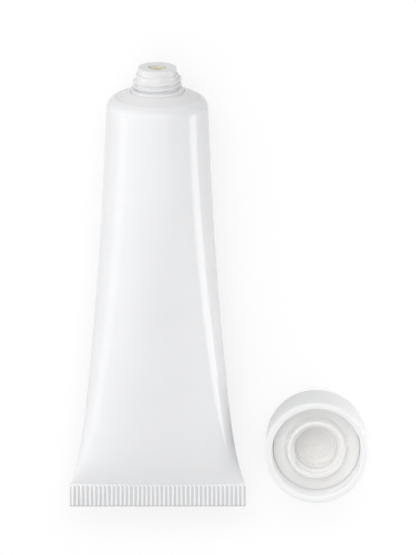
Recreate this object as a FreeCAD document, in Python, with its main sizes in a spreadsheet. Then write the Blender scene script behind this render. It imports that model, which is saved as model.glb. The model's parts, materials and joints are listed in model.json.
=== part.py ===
import FreeCAD, Part
import Sketcher
import math
import os
import re

# A soft cosmetic squeeze tube and its screw cap, millimetres, +Z up.
# The tube lies on its broad side with the neck towards +Y, as it comes to rest, and
# the cap stands beside it on its closed end, mouth up. The floor is Z = 0 and the
# origin is on it, under the middle of the space that the two take together.
# The tube is modelled upright in its own frame, with the crimp at the bottom and X
# across its width, and then laid down. The cap's own frame starts at its closed end.

os.makedirs("parts", exist_ok=True)
doc = FreeCAD.newDocument("SqueezeTube")

SIZES = {
    # sleeve: round under the shoulder, wide and flat at the crimp
    "sleeve_radius": 17.5,
    "sleeve_wall": 0.5,
    "sleeve_length": 133.6,
    "round_band": 1.0,
    "widening_steady": 4.54,
    "widening_bowed": 5.65,
    "thinning_bowed": 8.05,
    "closing_power": 16,
    "seal_slit": 0.05,
    # shoulder edge, where the sleeve is rolled over the head
    "edge_radius": 4.0,
    "shoulder_slope": 30,
    "lip_setback": 3.3,
    # crimped end
    "crimp_height": 8.2,
    "crimp_width": 60.6,
    "crimp_ledge": 0.25,
    "crimp_core": 0.5,
    "crimp_plain": 0.5,
    "rib_pitch": 1.5,
    "rib_radius": 0.42,
    "rib_rise": 0.38,
    "rib_margin": 0.6,
    # moulded head: skirt, shoulder, neck and mouth
    "weld_gap": 0.05,
    "head_wall": 1.2,
    "skirt_length": 3.0,
    "dome_rise": 2.0,
    "base_radius": 9.1,
    "base_height": 0.8,
    "base_rounding": 0.3,
    "neck_radius": 7.3,
    "neck_wall": 1.9,
    "thread_length": 5.1,
    "land_setback": 0.65,
    "land_length": 2.4,
    "step_rounding": 0.2,
    "mouth_rounding": 0.4,
    "mouth_plate": 1.5,
    "orifice_radius": 3.0,
    # screw thread, of one pitch on the neck and in the cap
    "thread_pitch": 1.85,
    "thread_foot": 0.25,
    "thread_depth": 0.98,
    "thread_root": 1.0,
    "thread_crest": 0.35,
    "thread_turns": 2.25,
    "thread_start": 0.71,
    # outer shell of the cap, whose rim overhangs the sleeve and overlaps its shoulder
    "cap_height": 20.5,
    "rim_overhang": 0.35,
    "rim_overlap": 2.0,
    "rim_outer_rounding": 0.7,
    "rim_inner_rounding": 1.1,
    "end_draft": 0.65,
    "end_rounding": 0.9,
    "end_floor": 1.6,
    "floor_rounding": 1.5,
    "shell_wall": 2.95,
    "seat_width": 1.0,
    # insert with the cap's thread, pressed into the shell
    "press_gap": 0.05,
    "web_depth": 7.25,
    "web_thickness": 1.3,
    "collar_radius": 10.0,
    "collar_flare": 0.85,
    "collar_fillet": 0.6,
    "collar_rounding": 0.35,
    "lead_in_wall": 1.0,
    "lead_in_depth": 0.8,
    "lead_in_taper": 0.3,
    "thread_clearance": 0.32,
    "land_clearance": 0.35,
    "seal_radius": 4.9,
    "well_depth": 0.9,
    "insert_wall": 1.3,
    "ridge_depth": 0.95,
    "ridge_root": 0.85,
    "ridge_crest": 0.35,
    "ridge_turns": 1.6,
    "ridge_start": 0.5,
    # how the cap closes on the tube: rim over the shoulder, collar over the thread
    "closed_gap": 0.4,
    "thread_room": 0.34,
    "collar_room": 0.14,
    # how the two lie beside each other
    "cap_gap": 6.45,
    "cap_setback": 3.3,
}

# Places that follow from the sizes, each as an expression for the sheet.
DERIVED = {
    "sleeve_top": "(crimp_height + sleeve_length)",
    "edge_start": "(sleeve_top + round_band)",
    "corner_height": "(edge_start + edge_radius * tan((90 - shoulder_slope) * 0.5 deg))",
    "lip_radius": "(sleeve_radius - lip_setback)",
    "shoulder_grade": "tan(shoulder_slope * 1 deg)",
    "slanted": "(1 / cos(shoulder_slope * 1 deg))",
    "lip_height": "(corner_height + lip_setback * shoulder_grade)",
    "seal_half_width": "(crimp_width / 2 - crimp_ledge)",
    "seal_half_depth": "(sleeve_wall + seal_slit)",
    "head_inset": "(sleeve_wall + weld_gap)",
    "head_radius": "(sleeve_radius - head_inset)",
    "base_bottom": "(lip_height + dome_rise)",
    "base_top": "(base_bottom + base_height)",
    "land_radius": "(neck_radius - land_setback)",
    "land_bottom": "(base_top + thread_length)",
    "neck_top": "(land_bottom + land_length)",
    "bore_radius": "(neck_radius - neck_wall)",
    "web_top": "(cap_height - web_depth)",
    "web_bottom": "(web_top - web_thickness)",
    "rim_radius": "(sleeve_radius + rim_overhang)",
    "rim_inner": "(sleeve_radius - rim_overlap)",
    "end_radius": "(rim_radius - end_draft)",
    "seat_radius": "(rim_radius - shell_wall)",
    "rim_reach": "(edge_radius + rim_inner_rounding)",
    "rim_stop": "(edge_start + sqrt(rim_overlap * (2 * rim_reach - rim_overlap)) - rim_inner_rounding)",
    "seat_floor": "(cap_height + rim_stop + closed_gap - neck_top)",
    "socket_bottom": "(seat_floor + land_length - thread_room)",
    "collar_top": "(seat_floor + land_length + thread_length - collar_room)",
    "collar_root": "(collar_radius + collar_flare)",
    "lead_in_radius": "(collar_radius - lead_in_wall)",
    "lead_in_bottom": "(collar_top - lead_in_depth)",
    "socket_radius": "(neck_radius + thread_depth + thread_clearance)",
    "lead_in_end": "(lead_in_bottom - lead_in_taper)",
    "land_seat_radius": "(land_radius + land_clearance)",
    "well_bottom": "(seat_floor - well_depth)",
}

STATIONS = 14


def expression(text):
    """The text with its derived places written out and its sizes read from the sheet."""
    while any(re.search(rf"\b{name}\b", text) for name in DERIVED):
        text = re.sub(r"\b[a-z_]+\b", lambda word: DERIVED.get(word[0], word[0]), text)
    return re.sub(r"\b[a-z_]+\b", lambda word: f"Sizes.{word[0]}" if word[0] in SIZES else word[0], text)


def value(text):
    """The number that an expression has now."""
    found = sheet.evalExpression(expression(text))
    return float(getattr(found, "Value", found))


def bind(thing, prop, text):
    thing.setExpression(prop, expression(text))


def make_sheet():
    """The driving sizes, one to a row."""
    made = doc.addObject("Spreadsheet::Sheet", "Sizes")
    for row, (name, number) in enumerate(SIZES.items(), start=1):
        made.set(f"A{row}", name)
        made.set(f"B{row}", str(number))
        made.setAlias(f"B{row}", name)
    doc.recompute()
    return made


def add_body(name):
    body = doc.addObject("PartDesign::Body", name)
    body.Label = name
    return body


def add_sketch(body, name, role):
    """A sketch on one of the body's own origin planes."""
    sketch = body.newObject("Sketcher::SketchObject", name)
    plane = next(item for item in body.Origin.OriginFeatures if item.Role == role)
    sketch.AttachmentSupport = [(plane, "")]
    sketch.MapMode = "FlatFace"
    sketch.Visibility = False
    return sketch


def hold(sketch, kind, geometry, point, text):
    """Keeps a point at its distance from the sketch's origin along one direction."""
    distance = value(text)
    if abs(distance) < 1e-9:
        axis = -2 if kind == "DistanceX" else -1
        sketch.addConstraint(Sketcher.Constraint("PointOnObject", geometry, point, axis))
        return
    number = sketch.addConstraint(Sketcher.Constraint(kind, -1, 1, geometry, point, distance))
    bind(sketch, f"Constraints[{number}]", text)


def add_outline(sketch, corners):
    """A closed outline of straight sides through corners given as expressions."""
    points = [FreeCAD.Vector(value(across), value(up), 0) for across, up in corners]
    for start, end in zip(points, points[1:] + points[:1]):
        sketch.addGeometry(Part.LineSegment(start, end))
    for line, (across, up) in enumerate(corners):
        before = (line - 1) % len(corners)
        sketch.addConstraint(Sketcher.Constraint("Coincident", before, 2, line, 1))
        hold(sketch, "DistanceX", line, 1, across)
        hold(sketch, "DistanceY", line, 1, up)


def revolve(body, name, corners):
    """Turns an outline of (radius, height) corners about the body's upright axis."""
    sketch = add_sketch(body, f"{name}_profile", "XZ_Plane")
    add_outline(sketch, corners)
    turned = body.newObject("PartDesign::Revolution", name)
    turned.Profile = sketch
    turned.ReferenceAxis = (sketch, ["V_Axis"])
    turned.Angle = 360
    doc.recompute()
    return turned


def ring_edges(shape, radius, height):
    """Names of the circular edges of a radius at a height."""
    names = []
    for number, edge in enumerate(shape.Edges, start=1):
        if not isinstance(edge.Curve, Part.Circle):
            continue
        off = math.hypot(edge.Curve.Radius - radius, edge.Curve.Center.z - height)
        if off < 1e-3:
            names.append(f"Edge{number}")
    return names


def round_ring(body, base, name, radius, across, up):
    """Rounds the corner ring at (across, up) to a radius."""
    rounded = body.newObject("PartDesign::Fillet", name)
    rounded.Base = (base, ring_edges(base.Shape, value(across), value(up)))
    bind(rounded, "Radius", radius)
    doc.recompute()
    return rounded


def wind_ridge(body, name, middle, root, crest, turns):
    """A right-hand ridge wound up the axis. Root and crest are (radius, width) pairs."""
    sketch = add_sketch(body, f"{name}_section", "XZ_Plane")
    add_outline(
        sketch,
        [
            (root[0], f"{middle} - {root[1]} / 2"),
            (crest[0], f"{middle} - {crest[1]} / 2"),
            (crest[0], f"{middle} + {crest[1]} / 2"),
            (root[0], f"{middle} + {root[1]} / 2"),
        ],
    )
    doc.recompute()
    ridge = body.newObject("PartDesign::AdditiveHelix", name)
    ridge.Profile = sketch
    ridge.ReferenceAxis = (sketch, ["V_Axis"])
    ridge.Mode = "pitch-turns-angle"
    bind(ridge, "Pitch", "thread_pitch")
    bind(ridge, "Turns", turns)
    doc.recompute()
    return ridge


def section_half_sizes(share):
    """Half width and half depth at a share of the way from the shoulder to the crimp."""
    width_left = "(seal_half_width - sleeve_radius - widening_steady - widening_bowed)"
    depth_left = "(sleeve_radius - thinning_bowed - seal_half_depth)"
    half_width = (
        f"sleeve_radius + widening_steady * {share} + widening_bowed * {share}^2"
        f" + {width_left} * {share}^closing_power"
    )
    half_depth = (
        f"sleeve_radius - thinning_bowed * {share}^2"
        f" - {depth_left} * {share}^closing_power"
    )
    return half_width, half_depth


def loft_sleeve(name, inset):
    """A loft through ellipses that widen, thin and close, closer together near both ends."""
    sections = []
    for number in range(STATIONS + 1):
        share = round((1 - math.cos(math.pi * number / STATIONS)) / 2, 4)
        half_width, half_depth = section_half_sizes(share)
        ellipse = doc.addObject("Part::Ellipse", f"{name}_{number}")
        bind(ellipse, "MajorRadius", f"{half_width} - {inset}")
        bind(ellipse, "MinorRadius", f"{half_depth} - {inset}")
        bind(ellipse, "Placement.Base.z", f"sleeve_top - sleeve_length * {share}")
        ellipse.Visibility = False
        sections.append(ellipse)
    loft = doc.addObject("Part::Loft", name)
    loft.Sections = sections
    loft.Solid = True
    return loft


def roll_edge():
    """The end of the sleeve, rolled over the head's shoulder as far as the lip."""
    body = add_body("rolled_edge")
    inside = "(sleeve_radius - sleeve_wall)"
    inside_corner = "(corner_height + sleeve_wall * (shoulder_grade - slanted))"
    corners = [
        ("sleeve_radius", "sleeve_top"),
        ("sleeve_radius", "corner_height"),
        ("lip_radius", "lip_height"),
        ("lip_radius", "lip_height - sleeve_wall * slanted"),
        (inside, inside_corner),
        (inside, "sleeve_top"),
    ]
    turned = revolve(body, "edge_ring", corners)
    outer = round_ring(body, turned, "edge_outside", "edge_radius", "sleeve_radius", "corner_height")
    round_ring(body, outer, "edge_inside", "edge_radius - sleeve_wall", inside, inside_corner)
    return body


def add_rib_row(body, name, side, shift):
    """A row of round-backed ribs on one face of the crimp, shifted by a share of the pitch."""
    spaces = f"floor((crimp_width - 2 * rib_margin - 2 * rib_radius) / rib_pitch - {2 * shift})"
    across = f"-{spaces} * rib_pitch / 2"
    middle = f"{side} * (crimp_core / 2 + rib_rise - rib_radius)"
    sketch = add_sketch(body, f"{name}_section", "XY_Plane")
    centre = FreeCAD.Vector(value(across), value(middle), 0)
    sketch.addGeometry(Part.Circle(centre, FreeCAD.Vector(0, 0, 1), value("rib_radius")))
    hold(sketch, "DistanceX", 0, 3, across)
    hold(sketch, "DistanceY", 0, 3, middle)
    back = sketch.addConstraint(Sketcher.Constraint("Radius", 0, value("rib_radius")))
    bind(sketch, f"Constraints[{back}]", "rib_radius")
    rib = body.newObject("PartDesign::Pad", name)
    rib.Profile = sketch
    bind(rib, "Length", "crimp_height - crimp_plain")
    doc.recompute()
    row = body.newObject("PartDesign::LinearPattern", f"{name}_row")
    row.Originals = [rib]
    row.Direction = (sketch, ["H_Axis"])
    row.Mode = "Spacing"
    bind(row, "Offset", "rib_pitch")
    bind(row, "Occurrences", f"{spaces} + 1")
    body.Tip = row
    doc.recompute()


def press_crimp():
    """The flat sealed end: a strip with ribs on both faces, each row between the other's."""
    body = add_body("crimp")
    sketch = add_sketch(body, "strip_section", "XY_Plane")
    half_width, half_core = "crimp_width / 2", "crimp_core / 2"
    add_outline(
        sketch,
        [
            (f"-{half_width}", f"-{half_core}"),
            (half_width, f"-{half_core}"),
            (half_width, half_core),
            (f"-{half_width}", half_core),
        ],
    )
    strip = body.newObject("PartDesign::Pad", "strip")
    strip.Profile = sketch
    bind(strip, "Length", "crimp_height")
    doc.recompute()
    add_rib_row(body, "front_rib", -1, 0)
    add_rib_row(body, "back_rib", 1, 0.5)
    return body


def make_sleeve():
    """The soft wall of the tube with its crimp and rolled edge, one welded piece."""
    skin = doc.addObject("Part::Cut", "skin")
    skin.Base = loft_sleeve("outside", "0")
    skin.Tool = loft_sleeve("inside", "sleeve_wall")
    sleeve = doc.addObject("Part::MultiFuse", "sleeve")
    sleeve.Shapes = [skin, roll_edge(), press_crimp()]
    sleeve.Label = "sleeve"
    doc.recompute()
    return sleeve


def make_head():
    """Shoulder and threaded neck, moulded in one and seated in the sleeve's rolled edge."""
    body = add_body("head")
    corner = "(corner_height + head_inset * (shoulder_grade - slanted))"
    inner_radius = "(head_radius - head_wall)"
    inner_inset = "(head_inset + head_wall)"
    recess_radius = "(lip_radius - weld_gap)"
    recess = "(lip_height + weld_gap * shoulder_grade)"
    corners = [
        (inner_radius, "edge_start - skirt_length"),
        ("head_radius", "edge_start - skirt_length"),
        ("head_radius", corner),
        (recess_radius, f"{recess} - head_inset * slanted"),
        (recess_radius, "lip_height"),
        ("base_radius", "base_bottom"),
        ("base_radius", "base_top"),
        ("neck_radius", "base_top"),
        ("neck_radius", "land_bottom"),
        ("land_radius", "land_bottom"),
        ("land_radius", "neck_top"),
        ("orifice_radius", "neck_top"),
        ("orifice_radius", "neck_top - mouth_plate"),
        ("bore_radius", "neck_top - mouth_plate"),
        ("bore_radius", "base_bottom"),
        ("lip_radius", f"lip_height - {inner_inset} * slanted"),
        (inner_radius, f"corner_height + {inner_inset} * (shoulder_grade - slanted)"),
    ]
    turned = revolve(body, "head_ring", corners)
    edge = round_ring(body, turned, "head_edge", "edge_radius - head_inset", "head_radius", corner)
    base = round_ring(body, edge, "base_edge", "base_rounding", "base_radius", "base_top")
    step = round_ring(body, base, "step_edge", "step_rounding", "neck_radius", "land_bottom")
    round_ring(body, step, "mouth_edge", "mouth_rounding", "land_radius", "neck_top")
    wind_ridge(
        body,
        "neck_thread",
        "(base_bottom + thread_start)",
        ("(neck_radius - thread_foot)", "thread_root"),
        ("(neck_radius + thread_depth)", "thread_crest"),
        "thread_turns",
    )
    return body


def make_cap_shell():
    """The outer cup of the cap, drafted outside, with a ledge inside for the insert."""
    body = add_body("cap_shell")
    cavity = "(seat_radius - seat_width)"
    corners = [
        ("0", "0"),
        ("end_radius", "0"),
        ("rim_radius", "cap_height"),
        ("rim_inner", "cap_height"),
        ("seat_radius", "web_bottom"),
        (cavity, "web_bottom"),
        (cavity, "end_floor"),
        ("0", "end_floor"),
    ]
    turned = revolve(body, "shell_cup", corners)
    end = round_ring(body, turned, "end_edge", "end_rounding", "end_radius", "0")
    rim = round_ring(body, end, "rim_outer_edge", "rim_outer_rounding", "rim_radius", "cap_height")
    lip = round_ring(body, rim, "rim_inner_edge", "rim_inner_rounding", "rim_inner", "cap_height")
    round_ring(body, lip, "floor_edge", "floor_rounding", cavity, "end_floor")
    return body


def make_cap_insert():
    """The cap's web, threaded collar and sealing well, seated on the shell's ledge."""
    body = add_body("cap_insert")
    web_radius = "(seat_radius - press_gap)"
    socket_outside = "(socket_radius + insert_wall)"
    seat_outside = "(land_seat_radius + insert_wall)"
    well_outside = "(seal_radius + insert_wall)"
    corners = [
        ("0", "well_bottom - insert_wall"),
        (well_outside, "well_bottom - insert_wall"),
        (well_outside, "seat_floor - insert_wall"),
        (seat_outside, "seat_floor - insert_wall"),
        (seat_outside, "socket_bottom - insert_wall"),
        (socket_outside, "socket_bottom - insert_wall"),
        (socket_outside, "web_bottom"),
        (web_radius, "web_bottom"),
        (web_radius, "web_top"),
        ("collar_root", "web_top"),
        ("collar_radius", "collar_top"),
        ("lead_in_radius", "collar_top"),
        ("lead_in_radius", "lead_in_bottom"),
        ("socket_radius", "lead_in_end"),
        ("socket_radius", "socket_bottom"),
        ("land_seat_radius", "socket_bottom"),
        ("land_seat_radius", "seat_floor"),
        ("seal_radius", "seat_floor"),
        ("seal_radius", "well_bottom"),
        ("0", "well_bottom"),
    ]
    turned = revolve(body, "insert_ring", corners)
    root = round_ring(body, turned, "collar_root_fillet", "collar_fillet", "collar_root", "web_top")
    round_ring(body, root, "collar_edge", "collar_rounding", "collar_radius", "collar_top")
    wind_ridge(
        body,
        "cap_thread",
        "(socket_bottom + ridge_start)",
        ("(socket_radius + thread_foot)", "ridge_root"),
        ("(socket_radius - ridge_depth)", "ridge_crest"),
        "ridge_turns",
    )
    return body


def rest_tilt(pieces):
    """Degrees by which the neck points up when the tube rests on its bowed side.

    It rocks until the floor touches it under its centre of mass, so it leans by the
    slope that the side has there.
    """
    volume = sum(piece.Shape.Volume for piece in pieces)
    moment = sum(piece.Shape.Volume * piece.Shape.CenterOfGravity.z for piece in pieces)
    length = value("sleeve_length")
    share = (value("sleeve_top") - moment / volume) / length
    step = 0.001
    near, far = (value(section_half_sizes(place)[1]) for place in (share - step, share + step))
    return math.degrees(math.atan2(near - far, 2 * step * length))


def joined_box(pieces, placement):
    """The exact box around the pieces once they are all placed so."""
    box = FreeCAD.BoundBox()
    for piece in pieces:
        placed = piece.Shape.copy()
        placed.Placement = placement.multiply(placed.Placement)
        box.add(placed.optimalBoundingBox(False, False))
    return box


def lay_out(tube_pieces, cap_pieces):
    """Lays the tube on the floor and stands the cap beside its crimped end."""
    turn = FreeCAD.Rotation(FreeCAD.Vector(1, 0, 0), rest_tilt(tube_pieces) - 90)
    box = joined_box(tube_pieces, FreeCAD.Placement(FreeCAD.Vector(), turn))
    half_span = value("crimp_width / 2 + cap_gap / 2 + rim_radius")
    half_length = box.YLength / 2
    tube_place = FreeCAD.Vector(
        value("crimp_width / 2") - half_span,
        -half_length - box.YMin,
        -box.ZMin,
    )
    cap_place = FreeCAD.Vector(
        half_span - value("rim_radius"),
        value("rim_radius + cap_setback") - half_length,
        0,
    )
    for piece in tube_pieces:
        piece.Placement = FreeCAD.Placement(tube_place, turn)
    for piece in cap_pieces:
        piece.Placement = FreeCAD.Placement(cap_place, FreeCAD.Rotation())
    doc.recompute()


def check(pieces):
    """Stops if any feature failed or any piece isn't one good solid."""
    for item in doc.Objects:
        if "Invalid" in item.State or "Error" in item.State:
            raise RuntimeError(f"{item.Name} failed: {item.State}")
    for piece in pieces:
        if piece.Shape.isNull() or not piece.Shape.isValid() or len(piece.Shape.Solids) != 1:
            raise RuntimeError(f"{piece.Label} isn't one valid solid")


sheet = make_sheet()
tube = [make_sleeve(), make_head()]
cap = [make_cap_shell(), make_cap_insert()]
lay_out(tube, cap)
check(tube + cap)
for piece in tube + cap:
    piece.Shape.exportStep(f"parts/{piece.Label}.step")
    print(f"{piece.Label}: {piece.Shape.Volume:.0f} mm3")
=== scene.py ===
# %% [markdown]
# # A squeeze tube and its screw cap
# This lesson dresses a soft white cosmetic tube. It lies on a table on its broad side,
# with its wide screw cap standing beside it, mouth up. The exact solids come from a CAD
# model. Here every one of them gets a smooth surface, a plastic that behaves like
# plastic, and soft studio light.
#
# All pieces are made in millimetres in the frame they are easiest to think in, upright
# on their own axis, and are then placed in metres where the CAD model says they lie.

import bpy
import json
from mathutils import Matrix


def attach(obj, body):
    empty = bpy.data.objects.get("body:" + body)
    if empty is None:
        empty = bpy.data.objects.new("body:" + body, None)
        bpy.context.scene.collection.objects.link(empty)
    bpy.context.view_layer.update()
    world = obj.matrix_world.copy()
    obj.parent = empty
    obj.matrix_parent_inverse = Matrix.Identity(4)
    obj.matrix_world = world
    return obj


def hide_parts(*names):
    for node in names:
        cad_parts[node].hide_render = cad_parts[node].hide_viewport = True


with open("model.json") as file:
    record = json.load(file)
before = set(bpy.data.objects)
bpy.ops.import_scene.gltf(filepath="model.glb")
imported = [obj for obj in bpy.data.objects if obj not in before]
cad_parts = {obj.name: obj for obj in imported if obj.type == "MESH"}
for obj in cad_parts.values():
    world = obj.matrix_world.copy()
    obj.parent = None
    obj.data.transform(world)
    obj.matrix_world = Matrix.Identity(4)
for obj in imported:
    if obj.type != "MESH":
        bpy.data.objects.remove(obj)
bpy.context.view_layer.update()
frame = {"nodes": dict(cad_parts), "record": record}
print("nodes:", sorted(frame["nodes"]))

# %% Import what the lesson uses
import json
import math

import bmesh
import bpy
from mathutils import Matrix, Vector

MM = 0.001

# %% [markdown]
# ## Where the tube and the cap are
# The CAD record keeps the mouth of the tube and the closed end of the cap as mounts,
# each with a position and an axis. From the mouth and the heights along the tube
# follows the matrix that lays an upright tube down, with its slight rise towards the
# neck. The cap stands upright, so its matrix only moves and scales.

# %% Heights along the tube
CRIMP_HEIGHT = 8.2
SLEEVE_LENGTH = 133.6
SLEEVE_RADIUS = 17.5
EDGE_RADIUS = 4.0
ROUND_BAND = 1.0
LIP_SETBACK = 3.3
SHOULDER_SLOPE = math.radians(30)
DOME_RISE = 2.0
BASE_HEIGHT = 0.8
THREAD_LENGTH = 5.1
LAND_LENGTH = 2.4

sleeve_top = CRIMP_HEIGHT + SLEEVE_LENGTH
edge_start = sleeve_top + ROUND_BAND
corner_height = edge_start + EDGE_RADIUS * math.tan((math.pi / 2 - SHOULDER_SLOPE) / 2)
lip_height = corner_height + LIP_SETBACK * math.tan(SHOULDER_SLOPE)
lip_radius = SLEEVE_RADIUS - LIP_SETBACK
base_bottom = lip_height + DOME_RISE
base_top = base_bottom + BASE_HEIGHT
land_bottom = base_top + THREAD_LENGTH
neck_top = land_bottom + LAND_LENGTH
print(f"shoulder lip at {lip_height:.2f} mm, neck ends at {neck_top:.2f} mm")

# %% Matrices that place the tube and the cap
mounts = {mount["name"]: mount for mount in frame["record"]["mounts"]}
mouth = mounts["mouth"]
neck_axis = Vector(mouth["axis"])
mouth_middle = neck_top - mouth["dims"]["length_mm"] / 2
tube_base = Vector(mouth["pos_m"]) - neck_axis * mouth_middle * MM
rise = math.atan2(neck_axis.z, neck_axis.y)

lay_down = Matrix.Rotation(rise - math.pi / 2, 4, "X")
to_tube = Matrix.Translation(tube_base) @ lay_down @ Matrix.Scale(MM, 4)
to_cap = Matrix.Translation(Vector(mounts["cap_end"]["pos_m"])) @ Matrix.Scale(MM, 4)
print(f"the neck points up by {math.degrees(rise):.2f} degrees")

# %% [markdown]
# ## Plastics
# A soft tube is polyethylene. It is glossy, but never a mirror: a fine ripple, like
# orange peel, breaks up the edges of reflections, handling leaves faintly duller
# patches, and light goes a little way into the plastic before it comes back, which
# softens small edges. All of it is read from Object coordinates, so it stays on the
# piece from every side.

# %% A node helper for materials
def shader_tree(name):
    """A new material's node tree, its Principled shader and its Object coordinates."""
    material = bpy.data.materials.new(name)
    material.use_nodes = True
    tree = material.node_tree
    surface = tree.nodes["Principled BSDF"]
    coordinates = tree.nodes.new("ShaderNodeTexCoord").outputs["Object"]
    return material, tree, surface, coordinates


def noise(tree, vector, scale, detail):
    """Cloudy noise from 0 to 1, with so many lumps to a metre."""
    node = tree.nodes.new("ShaderNodeTexNoise")
    node.inputs["Scale"].default_value = scale
    node.inputs["Detail"].default_value = detail
    tree.links.new(vector, node.inputs["Vector"])
    return node.outputs["Fac"]


def mixed(tree, share, first, second):
    """A colour between two, each a colour or a socket."""
    node = tree.nodes.new("ShaderNodeMix")
    node.data_type = "RGBA"
    tree.links.new(share, node.inputs["Factor"])
    for socket, colour in ((node.inputs["A"], first), (node.inputs["B"], second)):
        if isinstance(colour, tuple):
            socket.default_value = (*colour, 1)
        else:
            tree.links.new(colour, socket)
    return node.outputs["Result"]


def math_node(tree, operation, *values):
    """A Math node on sockets or numbers."""
    node = tree.nodes.new("ShaderNodeMath")
    node.operation = operation
    for place, value in zip(node.inputs, values):
        if isinstance(value, (int, float)):
            place.default_value = value
        else:
            tree.links.new(value, place)
    return node.outputs["Value"]


def ranged(tree, socket, low, high, out_low, out_high):
    """Carries a range of numbers smoothly over to another range."""
    node = tree.nodes.new("ShaderNodeMapRange")
    node.interpolation_type = "SMOOTHSTEP"
    tree.links.new(socket, node.inputs["Value"])
    for name, number in zip(("From Min", "From Max", "To Min", "To Max"), (low, high, out_low, out_high)):
        node.inputs[name].default_value = number
    return node.outputs["Result"]


# %% Make a white plastic
def plastic(name, colour, shade, roughness, ripple, soak, stretch=(1, 1, 1)):
    """White moulded or extruded plastic with its ripple, dull patches and cloudy tone."""
    material, tree, surface, coordinates = shader_tree(name)
    turn = tree.nodes.new("ShaderNodeMapping")
    turn.inputs["Scale"].default_value = stretch
    tree.links.new(coordinates, turn.inputs["Vector"])
    along = turn.outputs["Vector"]

    tone = mixed(tree, ranged(tree, noise(tree, coordinates, 45, 3), 0.35, 0.7, 0, 1), colour, shade)
    tree.links.new(tone, surface.inputs["Base Color"])
    patches = noise(tree, coordinates, 140, 4)
    tree.links.new(ranged(tree, patches, 0.3, 0.75, roughness, roughness * 1.5), surface.inputs["Roughness"])

    bump = tree.nodes.new("ShaderNodeBump")
    bump.inputs["Strength"].default_value = ripple
    bump.inputs["Distance"].default_value = 0.02 * MM
    tree.links.new(noise(tree, along, 700, 2), bump.inputs["Height"])
    tree.links.new(bump.outputs["Normal"], surface.inputs["Normal"])

    surface.inputs["IOR"].default_value = 1.5
    surface.inputs["Subsurface Weight"].default_value = 0.25
    surface.inputs["Subsurface Radius"].default_value = (1.0, 0.9, 0.75)
    surface.inputs["Subsurface Scale"].default_value = soak * MM
    return material, tone


WHITE, DULL_WHITE = (0.9, 0.905, 0.92), (0.885, 0.89, 0.905)
DRAWN_OUT = (1, 0.06, 1)
sleeve_plastic, sleeve_tone = plastic("sleeve_plastic", WHITE, DULL_WHITE, 0.11, 0.25, 0.15, DRAWN_OUT)
head_plastic, head_tone = plastic("head_plastic", (0.87, 0.87, 0.88), (0.855, 0.855, 0.865), 0.16, 0.12, 0.4)
cap_plastic, _ = plastic("cap_plastic", (0.93, 0.935, 0.945), (0.915, 0.92, 0.93), 0.14, 0.15, 0.8)
insert_plastic, _ = plastic("insert_plastic", (0.97, 0.96, 0.945), (0.96, 0.95, 0.93), 0.2, 0.15, 0.5)
print("plastics:", [material.name for material in bpy.data.materials if material.name.endswith("plastic")])

# %% [markdown]
# ### The tinted mouth
# Light that comes back out of the narrow mouth has passed through plastic many times
# and turns golden. Here that light is painted. A Mapping node carries Object coordinates
# to the tube's own axes. Inside the hole and the bore behind it, and more with the depth
# below the rim, the base colour takes a painted golden tint, light goes through from
# farther away, and an emission paints a faint glow.

# %% Paint golden light and a glow inside the mouth
# The mouth's painted golden light and painted glow.
MOUTH_PAINTED_LIGHT = (0.95, 0.87, 0.7)
MOUTH_SOAK = 2.5
MOUTH_PAINTED_GLOW = 0.13
BORE_RADIUS = 5.4


def tube_axes(tree, height):
    """Object coordinates along the tube's own axes, counted from a height up its axis."""
    carry = tree.nodes.new("ShaderNodeMapping")
    carry.vector_type = "TEXTURE"
    carry.inputs["Location"].default_value = tube_base + neck_axis * height * MM
    carry.inputs["Rotation"].default_value = lay_down.to_euler()
    tree.links.new(tree.nodes["Texture Coordinate"].outputs["Object"], carry.inputs["Vector"])
    split = tree.nodes.new("ShaderNodeSeparateXYZ")
    tree.links.new(carry.outputs["Vector"], split.inputs["Vector"])
    return split.outputs["X"], split.outputs["Y"], split.outputs["Z"]


def paint_mouth_light(material, tone):
    """Painted golden light and a painted glow inside the hole and the bore behind it."""
    tree = material.node_tree
    surface = tree.nodes["Principled BSDF"]
    across, through, up = tube_axes(tree, neck_top)
    squares = [math_node(tree, "MULTIPLY", side, side) for side in (across, through)]
    radius = math_node(tree, "SQRT", math_node(tree, "ADD", *squares))
    inside = ranged(tree, radius, (BORE_RADIUS + 0.4) * MM, (BORE_RADIUS + 0.2) * MM, 0, 1)
    deep = ranged(tree, up, -0.1 * MM, -1.3 * MM, 0, 1)
    share = math_node(tree, "MULTIPLY", inside, deep)
    # Painted light: the base colour turns golden inside the mouth.
    tree.links.new(mixed(tree, share, tone, MOUTH_PAINTED_LIGHT), surface.inputs["Base Color"])
    weight = surface.inputs["Subsurface Weight"]
    tree.links.new(ranged(tree, share, 0, 1, weight.default_value, 1), weight)
    soak = surface.inputs["Subsurface Scale"]
    tree.links.new(ranged(tree, share, 0, 1, soak.default_value, MOUTH_SOAK * MM), soak)
    # Painted glow: a golden emission in place of light that comes through the walls.
    surface.inputs["Emission Color"].default_value = (*MOUTH_PAINTED_LIGHT, 1)
    tree.links.new(math_node(tree, "MULTIPLY", share, MOUTH_PAINTED_GLOW), surface.inputs["Emission Strength"])


paint_mouth_light(head_plastic, head_tone)

# %% [markdown]
# ## From a profile to a surface
# Most of this object is turned about an axis, so a piece starts as a profile: corners
# with a radius, a height and a rounding. Moulded plastic has no truly sharp corner, and
# a rounding a tenth of a millimetre wide is what catches the light along an edge. Two
# support points beside each rounding keep the flat runs between them shading flat.

# %% Round the corners of a profile
SUPPORT = 0.03
ARC_STEP = math.radians(11)


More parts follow.
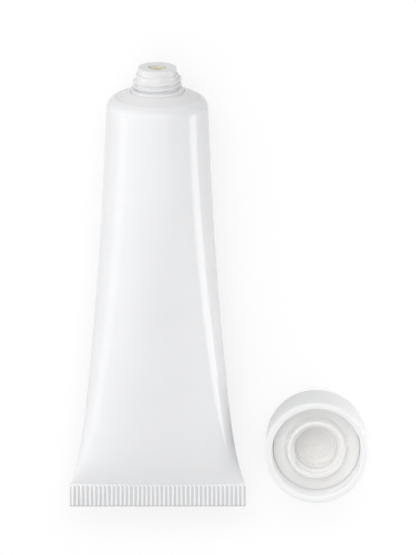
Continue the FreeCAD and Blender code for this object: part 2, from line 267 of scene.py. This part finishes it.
def rounded(corners):
    """Points along a closed profile with each corner rounded as its third number says."""
    points = []
    for number, (across, up, rounding) in enumerate(corners):
        corner = Vector((across, up))
        if rounding == 0:
            points.append(corner)
            continue
        back = (Vector(corners[number - 1][:2]) - corner).normalized()
        ahead = (Vector(corners[(number + 1) % len(corners)][:2]) - corner).normalized()
        half = back.angle(ahead) / 2
        turn = math.pi - 2 * half
        reach = rounding / math.tan(half)
        centre = corner + (back + ahead).normalized() * rounding / math.sin(half)
        first, last = corner + back * reach - centre, corner + ahead * reach - centre
        steps = max(3, round(turn / ARC_STEP))
        points.append(centre + first + back * SUPPORT)
        for step in range(steps + 1):
            near, far = math.sin(turn * (1 - step / steps)), math.sin(turn * step / steps)
            points.append(centre + (first * near + last * far) / math.sin(turn))
        points.append(centre + last + ahead * SUPPORT)
    return points


def divided(points, low, high, longest):
    """The points with more rows where a run between two heights is longer than a length."""
    result = []
    for point, after in zip(points, points[1:] + points[:1]):
        result.append(point)
        run = after - point
        if low <= min(point.y, after.y) and max(point.y, after.y) <= high and run.length > longest:
            parts = math.ceil(run.length / longest)
            result += [point + run * part / parts for part in range(1, parts)]
    return result


# %% Build a surface from rings of points
SEGMENTS = 240


def surface_of(name, rings):
    """An object of quads between neighbouring rings. A ring of one point closes a pole."""
    shell = bmesh.new()
    made = [[shell.verts.new(point) for point in ring] for ring in rings]
    for lower, upper in zip(made, made[1:] + made[:1]):
        for number in range(max(len(lower), len(upper))):
            after = number + 1
            corners = [lower[number % len(lower)], lower[after % len(lower)]]
            corners += [upper[after % len(upper)], upper[number % len(upper)]]
            corners = list(dict.fromkeys(corners))
            if len(corners) > 2:
                shell.faces.new(corners)
    mesh = bpy.data.meshes.new(name)
    shell.to_mesh(mesh)
    shell.free()
    piece = bpy.data.objects.new(name, mesh)
    bpy.context.scene.collection.objects.link(piece)
    return piece


def turned(name, points):
    """A profile of (radius, height) points turned about the upright axis."""
    rings = []
    for radius, height in points:
        count = SEGMENTS if radius > 0 else 1
        angles = [math.tau * number / SEGMENTS for number in range(count)]
        rings.append([(radius * math.cos(angle), radius * math.sin(angle), height) for angle in angles])
    return surface_of(name, rings)


# %% Finish a piece: faces outwards, smooth, placed, attached to the root body, with its CAD node hidden
def finish(piece, place, node, material):
    """Puts a piece where it lies, attaches it to the root body and hides the CAD node it stands for."""
    shell = bmesh.new()
    shell.from_mesh(piece.data)
    bmesh.ops.recalc_face_normals(shell, faces=shell.faces)
    shell.to_mesh(piece.data)
    shell.free()
    piece.data.transform(place)
    piece.data.shade_smooth()
    piece.data.materials.clear()
    piece.data.materials.append(material)
    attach(piece, "root")
    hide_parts(node)
    print(f"{piece.name}: {sum(len(face.vertices) - 2 for face in piece.data.polygons)} triangles")
    return piece


# %% [markdown]
# ## Writing geometry trees as formulas
# Three things here follow a rule. The sleeve goes from round to flat, the crimp repeats
# a rib, and the threads wind up an axis. Geometry Nodes make them. A tree of Math nodes
# is hard to read in code, so a small class lets a formula be written as one, and each
# sum or product adds its node.

# %% A field that adds Math nodes as it is used
class Field:
    """A number worked out at every point of a geometry tree."""

    def __init__(self, tree, socket):
        self.tree, self.socket = tree, socket

    def combine(self, operation, *others, clamp=False):
        """The field that a Math node makes of this one and others."""
        node = self.tree.nodes.new("ShaderNodeMath")
        node.operation = operation
        node.use_clamp = clamp
        for place, value in zip(node.inputs, (self, *others)):
            put(self.tree, value, place)
        return Field(self.tree, node.outputs["Value"])

    def __add__(self, other):
        return self.combine("ADD", other)

    def __sub__(self, other):
        return self.combine("SUBTRACT", other)

    def __mul__(self, other):
        return self.combine("MULTIPLY", other)

    def __truediv__(self, other):
        return self.combine("DIVIDE", other)

    def __pow__(self, other):
        return self.combine("POWER", other)

    def ease(self, start, end):
        """Goes smoothly from 0 at start to 1 at end."""
        node = self.tree.nodes.new("ShaderNodeMapRange")
        node.interpolation_type = "SMOOTHSTEP"
        for name, value in (("Value", self), ("From Min", start), ("From Max", end)):
            put(self.tree, value, node.inputs[name])
        return Field(self.tree, node.outputs["Result"])


def put(tree, value, socket):
    """Links a field into a socket, or sets a plain value on it."""
    if isinstance(value, Field):
        tree.links.new(value.socket, socket)
    else:
        socket.default_value = value


# %% Start and use a geometry tree
def geometry_tree(name, sizes):
    """A tree with an input for each named size. Gives the tree, its inputs and its end."""
    tree = bpy.data.node_groups.new(name, "GeometryNodeTree")
    tree.interface.new_socket("Geometry", in_out="INPUT", socket_type="NodeSocketGeometry")
    for size in sizes:
        kind = "NodeSocketInt" if size.endswith("Count") else "NodeSocketFloat"
        tree.interface.new_socket(size, in_out="INPUT", socket_type=kind)
    tree.interface.new_socket("Plastic", in_out="INPUT", socket_type="NodeSocketMaterial")
    tree.interface.new_socket("Geometry", in_out="OUTPUT", socket_type="NodeSocketGeometry")
    start = tree.nodes.new("NodeGroupInput")
    inputs = {size: Field(tree, start.outputs[size]) for size in sizes}

    realize = tree.nodes.new("GeometryNodeRealizeInstances")
    paint = tree.nodes.new("GeometryNodeSetMaterial")
    end = tree.nodes.new("NodeGroupOutput")
    tree.links.new(realize.outputs["Geometry"], paint.inputs["Geometry"])
    tree.links.new(start.outputs["Plastic"], paint.inputs["Material"])
    tree.links.new(paint.outputs["Geometry"], end.inputs["Geometry"])
    return tree, start.outputs["Geometry"], inputs, realize.inputs["Geometry"]


def position_of(tree):
    """The x, y and z of every point, as fields."""
    here = tree.nodes.new("GeometryNodeInputPosition")
    split = tree.nodes.new("ShaderNodeSeparateXYZ")
    tree.links.new(here.outputs["Position"], split.inputs["Vector"])
    return [Field(tree, split.outputs[axis]) for axis in "XYZ"]


def moved_to(tree, geometry, x, y, z, where=None):
    """The geometry with its points moved to new coordinates, where a field says so."""
    join = tree.nodes.new("ShaderNodeCombineXYZ")
    for axis, value in zip("XYZ", (x, y, z)):
        put(tree, value, join.inputs[axis])
    node = tree.nodes.new("GeometryNodeSetPosition")
    tree.links.new(geometry, node.inputs["Geometry"])
    tree.links.new(join.outputs["Vector"], node.inputs["Position"])
    if where:
        put(tree, where, node.inputs["Selection"])
    return node.outputs["Geometry"]


def shaped(piece, tree, values, material):
    """Runs a tree on a piece with its sizes set, and keeps the plain mesh that comes out."""
    modifier = piece.modifiers.new(tree.name, "NODES")
    modifier.node_group = tree
    for item in tree.interface.items_tree:
        if item.in_out == "INPUT" and item.name in values:
            modifier[item.identifier] = values[item.name]
        if item.in_out == "INPUT" and item.name == "Plastic":
            modifier[item.identifier] = material
    graph = bpy.context.evaluated_depsgraph_get()
    mesh = bpy.data.meshes.new_from_object(piece.evaluated_get(graph), depsgraph=graph)
    piece.modifiers.remove(modifier)
    plain, piece.data = piece.data, mesh
    bpy.data.meshes.remove(plain)
    print(f"{tree.name} shaped {piece.name}: {len(mesh.vertices)} points")
    return piece


# %% [markdown]
# ## The sleeve
# The sleeve is one extruded tube: round where it is welded to the shoulder, pressed
# flat at the other end, and full in between. Its cross-section is an ellipse whose half
# width and half depth follow from how far down the sleeve it lies. A high power of
# that share closes it, only in the last stretch before the crimp.
#
# The wall's own profile is a closed loop: down the outside, back up the inside, and
# over the rolled edge at the shoulder. Each of its points has a height and an inset
# from the outer skin. The loop is laid out flat, once for every step around the tube,
# and the tree wraps that sheet round the ellipses.

# %% The tree that wraps a flat sheet round the tube
SLEEVE_SIZES = {
    "Radius": SLEEVE_RADIUS,
    "Top": sleeve_top,
    "Length": SLEEVE_LENGTH,
    "Widening Steady": 4.54,
    "Widening Bowed": 5.65,
    "Thinning Bowed": 8.05,
    "Seal Half Width": 30.05,
    "Seal Half Depth": 0.55,
    "Closing Power": 16.0,
}


def wrap_tree():
    """The tree that turns a flat sheet into the sleeve's wall."""
    tree, geometry, size, end = geometry_tree("wrap_tube", SLEEVE_SIZES)
    around, height, inset = position_of(tree)
    share = (size["Top"] - height).combine("DIVIDE", size["Length"], clamp=True)
    bowed = share * share
    closed = share ** size["Closing Power"]
    wide = size["Radius"] + size["Widening Steady"] + size["Widening Bowed"]
    thin = size["Radius"] - size["Thinning Bowed"]
    half_width = size["Radius"] + size["Widening Steady"] * share + size["Widening Bowed"] * bowed
    half_width = half_width + (size["Seal Half Width"] - wide) * closed - inset
    half_depth = size["Radius"] - size["Thinning Bowed"] * bowed
    half_depth = half_depth + (size["Seal Half Depth"] - thin) * closed - inset
    angle = around * math.tau
    x = half_width * angle.combine("COSINE")
    y = half_depth * angle.combine("SINE")
    tree.links.new(moved_to(tree, geometry, x, y, height), end)
    return tree


# %% The wall's profile and its flat sheet
SLEEVE_WALL = 0.5
OUTER_ROWS = 120
INNER_ROWS = 50


def heights_down(rows):
    """Heights from the shoulder to the crimp, closer together near both ends."""
    return [sleeve_top - SLEEVE_LENGTH * (1 - math.cos(math.pi * row / rows)) / 2 for row in range(rows + 1)]


def wall_profile():
    """(inset, height) points around the sleeve's wall, from the crimp up and back."""
    slant = 1 / math.cos(SHOULDER_SLOPE)
    inner_corner = corner_height + SLEEVE_WALL * (math.tan(SHOULDER_SLOPE) - slant)
    corners = [
        (0, CRIMP_HEIGHT, 0.12),
        (0, corner_height, EDGE_RADIUS),
        (LIP_SETBACK, lip_height, 0.06),
        (LIP_SETBACK, lip_height - SLEEVE_WALL * slant, 0.1),
        (SLEEVE_WALL, inner_corner, EDGE_RADIUS - SLEEVE_WALL),
        (SLEEVE_WALL, CRIMP_HEIGHT, 0),
    ]
    points = rounded(corners)
    outer = [Vector((0, height)) for height in heights_down(OUTER_ROWS)[-2::-1]]
    inner = [Vector((SLEEVE_WALL, height)) for height in heights_down(INNER_ROWS)[:-1]]
    start = next(n for n, point in enumerate(points) if point.y > CRIMP_HEIGHT + 1)
    outer = [point for point in outer if points[start - 1].y < point.y < points[start].y]
    return points[:start] + outer + points[start:-1] + inner + points[-1:]


sheet = [[(number / SEGMENTS, point.y, point.x) for number in range(SEGMENTS)] for point in wall_profile()]
wall = surface_of("sleeve_wall", sheet)
shaped(wall, wrap_tree(), SLEEVE_SIZES, sleeve_plastic)
finish(wall, to_tube, "sleeve", sleeve_plastic)

# %% [markdown]
# ## The crimp
# The open end is pressed shut between two hot bars. Their grooves leave a row of
# upright ribs on each face, and the rows are staggered, so the strip between them is
# really corrugated. The strip is a thin rounded bar. One rib is modelled, and a tree
# repeats it along both faces, each copy leaning by a hair, as pressed plastic does.

# %% The strip
CRIMP_WIDTH = 60.6
CRIMP_CORE = 0.5
STRIP_ROUNDING = 0.12


def strip(name):
    """The flat bar between the two rows of ribs."""
    bar = bmesh.new()
    bmesh.ops.create_cube(bar, size=1)
    bmesh.ops.scale(bar, vec=(CRIMP_WIDTH, CRIMP_CORE, CRIMP_HEIGHT), verts=bar.verts)
    bmesh.ops.translate(bar, vec=(0, 0, CRIMP_HEIGHT / 2), verts=bar.verts)
    bmesh.ops.bevel(
        bar,
        geom=bar.edges[:],
        offset=STRIP_ROUNDING,
        offset_type="OFFSET",
        segments=4,
        profile=0.5,
        affect="EDGES",
    )
    mesh = bpy.data.meshes.new(name)
    bar.to_mesh(mesh)
    bar.free()
    piece = bpy.data.objects.new(name, mesh)
    bpy.context.scene.collection.objects.link(piece)
    return piece


# Painted light and shade: ribs whiter as if lit, grooves grey as their shade, the cut end grey as its shadow.
RIB_PAINTED_LIGHT = (0.97, 0.975, 0.985)
GROOVE_PAINTED_SHADE = (0.74, 0.745, 0.76)
CUT_END_PAINTED_SHADOW = (0.58, 0.585, 0.6)


def paint_crimp_light_and_shade(material, tone):
    """Painted light and shade on the crimp: whiter ribs as if lit, grey grooves as their shade, and a grey
    line of shadow at the cut end.
    """
    tree = material.node_tree
    _, through, up = tube_axes(tree, 0)
    rise = math_node(tree, "ABSOLUTE", through)
    low = ranged(tree, rise, (CRIMP_CORE / 2 + 0.16) * MM, (CRIMP_CORE / 2 + 0.02) * MM, 0, 1)
    pressed = ranged(tree, up, (CRIMP_HEIGHT - 0.8) * MM, (CRIMP_HEIGHT - 1.1) * MM, 0, 1)
    # Painted light on the ribs and painted shade in the grooves.
    ribs_lit_and_shaded = mixed(tree, math_node(tree, "MULTIPLY", low, pressed), RIB_PAINTED_LIGHT, GROOVE_PAINTED_SHADE)
    crimped = ranged(tree, up, (CRIMP_HEIGHT + 0.1) * MM, (CRIMP_HEIGHT - 0.1) * MM, 0, 1)
    end_shadow_share = ranged(tree, up, 0.45 * MM, 0.3 * MM, 0, 1)
    # Painted shadow: a grey line along the cut end of the crimp.
    strip_painted_tone = mixed(tree, end_shadow_share, ribs_lit_and_shaded, CUT_END_PAINTED_SHADOW)
    tree.links.new(mixed(tree, crimped, tone, strip_painted_tone), tree.nodes["Principled BSDF"].inputs["Base Color"])


paint_crimp_light_and_shade(sleeve_plastic, sleeve_tone)
finish(strip("crimp_strip"), to_tube, "sleeve", sleeve_plastic)

# %% One rib
RIB_RADIUS = 0.42
RIB_RISE = 0.38
RIB_LENGTH = CRIMP_HEIGHT - 0.5
RIB_SIDES = 16
RIB_ENDS = [(0.0, 0.0), (0.0, 0.55), (0.05, 0.8), (0.14, 0.95), (0.3, 1.0)]


def rib(name):
    """A round bar with soft ends, as far in front of the strip's middle as it stands."""
    forward = CRIMP_CORE / 2 + RIB_RISE - RIB_RADIUS
    sections = RIB_ENDS + [(RIB_LENGTH - up, share) for up, share in reversed(RIB_ENDS)]
    rings = []
    for up, share in sections:
        count = RIB_SIDES if share > 0 else 1
        angles = [math.tau * number / RIB_SIDES for number in range(count)]
        radius = RIB_RADIUS * share
        front = [-forward - radius * math.cos(angle) * (count > 1) for angle in angles]
        rings.append([(radius * math.sin(angle), y, up) for angle, y in zip(angles, front)])
    return surface_of(name, rings)


# %% The tree that repeats the rib along both faces
RIB_PITCH = 1.5
RIB_SIZES = {"Pitch": RIB_PITCH, "Front Count": 40, "Back Count": 39, "Lean": math.radians(0.5)}
RIB_SEED = 7


def rib_tree():
    """The tree that sets copies of one rib along the front and the back."""
    tree, one_rib, size, end = geometry_tree("press_ribs", RIB_SIZES)
    join = tree.nodes.new("GeometryNodeJoinGeometry")
    for row, (count, half_turn) in enumerate((("Front Count", 0.0), ("Back Count", math.pi))):
        line = tree.nodes.new("GeometryNodeMeshLine")
        start = tree.nodes.new("ShaderNodeCombineXYZ")
        step = tree.nodes.new("ShaderNodeCombineXYZ")
        put(tree, (size[count] - 1) * size["Pitch"] * -0.5, start.inputs["X"])
        put(tree, size["Pitch"], step.inputs["X"])
        put(tree, size[count], line.inputs["Count"])
        tree.links.new(start.outputs["Vector"], line.inputs["Start Location"])
        tree.links.new(step.outputs["Vector"], line.inputs["Offset"])

        chance = tree.nodes.new("FunctionNodeRandomValue")
        chance.data_type = "FLOAT"
        put(tree, size["Lean"] * -1, chance.inputs[2])
        put(tree, size["Lean"], chance.inputs[3])
        chance.inputs["Seed"].default_value = RIB_SEED + row
        turn = tree.nodes.new("ShaderNodeCombineXYZ")
        tree.links.new(chance.outputs[1], turn.inputs["Y"])
        turn.inputs["Z"].default_value = half_turn

        copies = tree.nodes.new("GeometryNodeInstanceOnPoints")
        tree.links.new(line.outputs["Mesh"], copies.inputs["Points"])
        tree.links.new(one_rib, copies.inputs["Instance"])
        tree.links.new(turn.outputs["Vector"], copies.inputs["Rotation"])
        tree.links.new(copies.outputs["Instances"], join.inputs["Geometry"])
    tree.links.new(join.outputs["Geometry"], end)
    return tree


ribs = shaped(rib("crimp_ribs"), rib_tree(), RIB_SIZES, sleeve_plastic)
finish(ribs, to_tube, "sleeve", sleeve_plastic)

# %% [markdown]
# ## Threads
# A moulded thread is not a separate wire. It grows out of the wall with soft flanks,
# and fades away at both ends so that the cap finds its start. So the tree moves the
# points of a turned wall outwards, or inwards for the cap, by the height of the ridge
# at their angle and height. One tree serves the neck and the cap.

# %% The tree that winds a ridge on a turned wall
def thread_tree():
    """The tree that lifts a spiral ridge out of a turned wall."""
    names = ("Wall Radius", "Ridge", "Root", "Crest", "Pitch", "Start", "Turns", "Fade", "Low", "High")
    tree, geometry, size, end = geometry_tree("wind_thread", names)
    x, y, z = position_of(tree)
    radius = (x * x + y * y).combine("SQRT")
    angle = (y.combine("ARCTAN2", x) / math.tau).combine("FRACT")
    passed = (z - size["Start"]) / size["Pitch"]
    wound = angle + (passed - angle).combine("ROUND")
    aside = (z - size["Start"] - wound * size["Pitch"]).combine("ABSOLUTE")
    height = aside.ease(size["Root"] / 2, size["Crest"] / 2 * 0.6)
    grow = wound.ease(0.0, size["Fade"])
    fade = (size["Turns"] - wound).ease(0.0, size["Fade"])
    target = size["Wall Radius"] + size["Ridge"] * height * grow * fade
    side = size["Ridge"].combine("SIGN")
    push = ((target - radius) * side).combine("MAXIMUM", 0.0)
    stretch = (radius + push * side) / radius
    reach = (radius - size["Wall Radius"]) * side
    near = reach.combine("GREATER_THAN", -0.3) * reach.combine("LESS_THAN", size["Ridge"] * side)
    near = near * z.combine("GREATER_THAN", size["Low"]) * z.combine("LESS_THAN", size["High"])
    tree.links.new(moved_to(tree, geometry, x * stretch, y * stretch, z, near), end)
    return tree


wind_thread = thread_tree()
THREAD_PITCH = 1.85

# %% [markdown]
# ## The head
# Shoulder and neck are moulded in one. The shoulder continues the sleeve's rolled edge
# with a hair's gap, which shows as the fine ring on the shoulder. A low ring with a
# relief groove under it carries the neck. The thread takes a little over two turns,
# and a plain band, set back by a rounded step, leads up to the flat mouth.

# %% Profile of the head
WELD_GAP = 0.05
HEAD_WALL = 1.2
NECK_RADIUS = 7.3
ORIFICE_RADIUS = mouth["dims"]["r_mm"]
LAND_RADIUS = mounts["neck_land"]["dims"]["r_mm"]
BASE_RADIUS = 9.1
RELIEF = 0.32
RELIEF_DEPTH = RELIEF * 1.4
SKIRT_LENGTH = 3.0
STEP_ROUNDING = 0.2


def head_profile():
    """(radius, height) points around the head, out over the shoulder and back inside."""
    grade, slant = math.tan(SHOULDER_SLOPE), 1 / math.cos(SHOULDER_SLOPE)
    inset = SLEEVE_WALL + WELD_GAP
    deep = inset + HEAD_WALL
    outer, inner = SLEEVE_RADIUS - inset, SLEEVE_RADIUS - deep
    recess = lip_radius - WELD_GAP
    dome_grade = (base_bottom - lip_height) / (recess - BASE_RADIUS)
    plate_bottom = neck_top - mouth["dims"]["length_mm"]
    corners = [
        (inner, edge_start - SKIRT_LENGTH, 0.1),
        (outer, edge_start - SKIRT_LENGTH, 0.1),
        (outer, corner_height + inset * (grade - slant), EDGE_RADIUS - inset),
        (recess, lip_height + WELD_GAP * grade - inset * slant, 0.05),
        (recess, lip_height, 0.05),
        (BASE_RADIUS + RELIEF, base_bottom - RELIEF * dome_grade, 0.05),
        (BASE_RADIUS + RELIEF, base_bottom - RELIEF_DEPTH, 0.05),
        (BASE_RADIUS, base_bottom - RELIEF_DEPTH, 0.05),
        (BASE_RADIUS, base_top, 0.25),
        (NECK_RADIUS, base_top, 0),
        (NECK_RADIUS, land_bottom, STEP_ROUNDING),
        (LAND_RADIUS, land_bottom, 0.05),
        (LAND_RADIUS, neck_top, 0.4),
        (ORIFICE_RADIUS, neck_top, 0.2),
        (ORIFICE_RADIUS, plate_bottom, 0.1),
        (BORE_RADIUS, plate_bottom, 0.2),
        (BORE_RADIUS, base_bottom, 0.5),
        (lip_radius, lip_height - deep * slant, 0),
        (inner, corner_height + deep * (grade - slant), 0.5),
    ]
    return divided(rounded(corners), base_top - 0.01, land_bottom + 0.01, 0.09)


NECK_THREAD = {
    "Wall Radius": NECK_RADIUS,
    "Ridge": 0.98,
    "Root": 1.0,
    "Crest": 0.35,
    "Pitch": THREAD_PITCH,
    "Start": base_bottom + 0.71,
    "Turns": 2.25,
    "Fade": 0.06,
    "Low": base_top - 0.01,
    "High": land_bottom - STEP_ROUNDING,
}

head = turned("head_moulding", head_profile())
shaped(head, wind_thread, NECK_THREAD, head_plastic)
finish(head, to_tube, "head", head_plastic)

# %% [markdown]
# ## The cap
# The cap is two mouldings. The shell is a plain drafted cup with a soft, thick rim. The
# insert is pressed into it: a flat web, a threaded collar that screws over the neck,
# and a seat with a shallow well that closes on the mouth.

# %% The shell
CAP_HEIGHT = 20.5
END_FLOOR = 1.6
SEAT_BORE = 13.9
WEB_BOTTOM = 11.95

shell_corners = [
    (0, 0, 0),
    (17.2, 0, 0.9),
    (17.85, CAP_HEIGHT, 0.7),
    (15.5, CAP_HEIGHT, 1.1),
    (14.9, WEB_BOTTOM, 0),
    (SEAT_BORE, WEB_BOTTOM, 0),
    (SEAT_BORE, END_FLOOR, 1.5),
    (0, END_FLOOR, 0),
]
finish(turned("cap_cup", rounded(shell_corners)), to_cap, "cap_shell", cap_plastic)

# %% The insert
INSERT_WALL = 1.3
WEB_TOP = WEB_BOTTOM + INSERT_WALL
SEAT_RADIUS = mounts["cap_seat"]["dims"]["r_mm"]
LEAD_IN_RADIUS = mounts["cap_lead_in"]["dims"]["r_mm"]
SOCKET_RADIUS = 8.6
SEAL_RADIUS = 4.9
SEAT_FLOOR = 9.335
SOCKET_BOTTOM = 11.395
COLLAR_TOP = 16.695
LEAD_IN_BOTTOM = 15.895
LEAD_IN_TAPER = 0.3
WELL_BOTTOM = 8.435

insert_corners = [
    (0, WELL_BOTTOM - INSERT_WALL, 0),
    (6.2, WELL_BOTTOM - INSERT_WALL, 0.1),
    (6.2, SEAT_FLOOR - INSERT_WALL, 0.1),
    (8.3, SEAT_FLOOR - INSERT_WALL, 0.1),
    (8.3, SOCKET_BOTTOM - INSERT_WALL, 0.1),
    (9.9, SOCKET_BOTTOM - INSERT_WALL, 0.1),
    (9.9, WEB_BOTTOM, 0.1),
    (14.85, WEB_BOTTOM, 0.05),
    (14.85, WEB_TOP, 0.1),
    (10.85, WEB_TOP, 0.6),
    (10.0, COLLAR_TOP, 0.35),
    (LEAD_IN_RADIUS, COLLAR_TOP, 0.2),
    (LEAD_IN_RADIUS, LEAD_IN_BOTTOM, 0.1),
    (SOCKET_RADIUS, LEAD_IN_BOTTOM - LEAD_IN_TAPER, 0.05),
    (SOCKET_RADIUS, SOCKET_BOTTOM, 0.1),
    (SEAT_RADIUS, SOCKET_BOTTOM, 0.2),
    (SEAT_RADIUS, SEAT_FLOOR, 0.25),
    (SEAL_RADIUS, SEAT_FLOOR, 0.2),
    (SEAL_RADIUS, WELL_BOTTOM, 0.3),
    (0, WELL_BOTTOM, 0),
]

CAP_THREAD = {
    "Wall Radius": SOCKET_RADIUS,
    "Ridge": -0.95,
    "Root": 0.85,
    "Crest": 0.35,
    "Pitch": THREAD_PITCH,
    "Start": SOCKET_BOTTOM + 0.5,
    "Turns": 1.6,
    "Fade": 0.06,
    "Low": SOCKET_BOTTOM,
    "High": LEAD_IN_BOTTOM - LEAD_IN_TAPER,
}

thread_low, thread_high = SOCKET_BOTTOM - 0.01, LEAD_IN_BOTTOM - LEAD_IN_TAPER + 0.01
insert_points = divided(rounded(insert_corners), thread_low, thread_high, 0.08)
insert = turned("cap_collar", insert_points)
shaped(insert, wind_thread, CAP_THREAD, insert_plastic)
finish(insert, to_cap, "cap_insert", insert_plastic)

# %% [markdown]
# ## The table
# A plain pale table takes the shadows. To the camera and in reflections it is nearly
# white, which comes from its own material and adds no light to the object.

# %% Floor
FLOOR_HALF = 1.5
FLOOR_TONE = 0.32
FLOOR_LIFT = 0.71


def seen_white(tree):
    """1 on rays from the camera and on rays that are mirrored or let through."""
    path = tree.nodes.new("ShaderNodeLightPath")
    kinds = [path.outputs[f"Is {kind} Ray"] for kind in ("Camera", "Glossy", "Transmission")]
    return math_node(tree, "MAXIMUM", kinds[0], math_node(tree, "MAXIMUM", *kinds[1:]))


def floor_material():
    """A pale, dull table that looks white to the camera and in reflections."""
    material, tree, surface, coordinates = shader_tree("table_pale")
    tone = mixed(tree, noise(tree, coordinates, 6, 2), (FLOOR_TONE,) * 3, (FLOOR_TONE * 1.02,) * 3)
    tree.links.new(tone, surface.inputs["Base Color"])
    surface.inputs["Roughness"].default_value = 0.9
    surface.inputs["Specular IOR Level"].default_value = 0.1
    surface.inputs["Emission Color"].default_value = (1, 1, 1, 1)
    lift = math_node(tree, "MULTIPLY", seen_white(tree), FLOOR_LIFT)
    tree.links.new(lift, surface.inputs["Emission Strength"])
    return material


floor_mesh = bpy.data.meshes.new("floor")
corners = [(x * FLOOR_HALF, y * FLOOR_HALF, 0) for x, y in ((-1, -1), (1, -1), (1, 1), (-1, 1))]
floor_mesh.from_pydata(corners, [], [(0, 1, 2, 3)])
floor = bpy.data.objects.new("floor", floor_mesh)
bpy.context.scene.collection.objects.link(floor)
floor_mesh.materials.append(floor_material())

# %% [markdown]
# ## The light
# Glossy white plastic shows its form by what it reflects. A wide, low soft box stands on
# the left and a narrow, stronger one on the right, so each draws one streak down the
# sleeve. A large one hangs overhead and a long one behind the neck, which puts the
# shadow on the near side of the crimp. The room is white to the camera and in
# reflections, and lights the object from the left, the front and the back, which gives
# the slow fall of tone from left to right.

# %% Soft boxes
def soft_box(name, place, aim, width, length, radiance):
    """A rectangular lamp that shines from a place towards a point."""
    lamp = bpy.data.lights.new(name, "AREA")
    lamp.shape = "RECTANGLE"
    lamp.size, lamp.size_y = width, length
    lamp.energy = radiance * math.pi * width * length
    thing = bpy.data.objects.new(name, lamp)
    thing.location = place
    thing.rotation_euler = (Vector(aim) - Vector(place)).to_track_quat("-Z", "Y").to_euler()
    bpy.context.scene.collection.objects.link(thing)
    return thing


soft_box("left_box", (-0.5, 0.0, 0.1), (0, 0, 0.1), 0.9, 0.2, 0.85)
soft_box("right_box", (0.22, -0.1, 0.041), (0, -0.1, 0.041), 0.38, 0.082, 2.7)
soft_box("top_box", (0.0, 0.0, 1.1), (0, 0, 0), 0.9, 0.9, 0.8)
soft_box("back_box", (0.0, 0.6, 0.75), (0, 0, 0.02), 1.0, 0.45, 1.6)

# %% Room
ROOM_GLOW = {"left": ("X", -0.76), "front": ("Y", -1.0), "back": ("Y", 0.9)}


def light_room():
    """White to the camera and in reflections. Otherwise it glows from left, front and back."""
    world = bpy.data.worlds.new("room")
    bpy.context.scene.world = world
    world.use_nodes = True
    tree = world.node_tree
    split = tree.nodes.new("ShaderNodeSeparateXYZ")
    tree.links.new(tree.nodes.new("ShaderNodeTexCoord").outputs["Generated"], split.inputs["Vector"])
    sides = [math_node(tree, "MULTIPLY", split.outputs[axis], glow) for axis, glow in ROOM_GLOW.values()]
    glow = math_node(tree, "MAXIMUM", sides[0], 0.0)
    for side in sides[1:]:
        glow = math_node(tree, "ADD", glow, math_node(tree, "MAXIMUM", side, 0.0))
    back = tree.nodes["Background"]
    tree.links.new(math_node(tree, "MAXIMUM", seen_white(tree), glow), back.inputs["Strength"])
    back.inputs["Color"].default_value = (1, 1, 1, 1)


light_room()

# %% [markdown]
# ## The camera
# A long lens looks down on the tube, a little from the neck's side, so that the mouth
# and the thread are seen and the sleeve keeps its true proportions.

# %% Camera
LENS = 900.0
SENSOR = 36.0
FRAME_HEIGHT = 0.19007
LEAN = math.radians(14.38)
AIM = Vector((-0.00378, 0.00379, 0.017))

camera_data = bpy.data.cameras.new("camera")
camera_data.lens = LENS
camera_data.sensor_width = SENSOR
camera = bpy.data.objects.new("camera", camera_data)
distance = FRAME_HEIGHT * LENS / SENSOR
camera.location = AIM + Vector((0, math.sin(LEAN), math.cos(LEAN))) * distance
camera.rotation_euler = (-LEAN, 0, 0)
bpy.context.scene.collection.objects.link(camera)
bpy.context.scene.camera = camera
bpy.context.scene.view_settings.view_transform = "Standard"
print(f"camera at {distance:.2f} m")
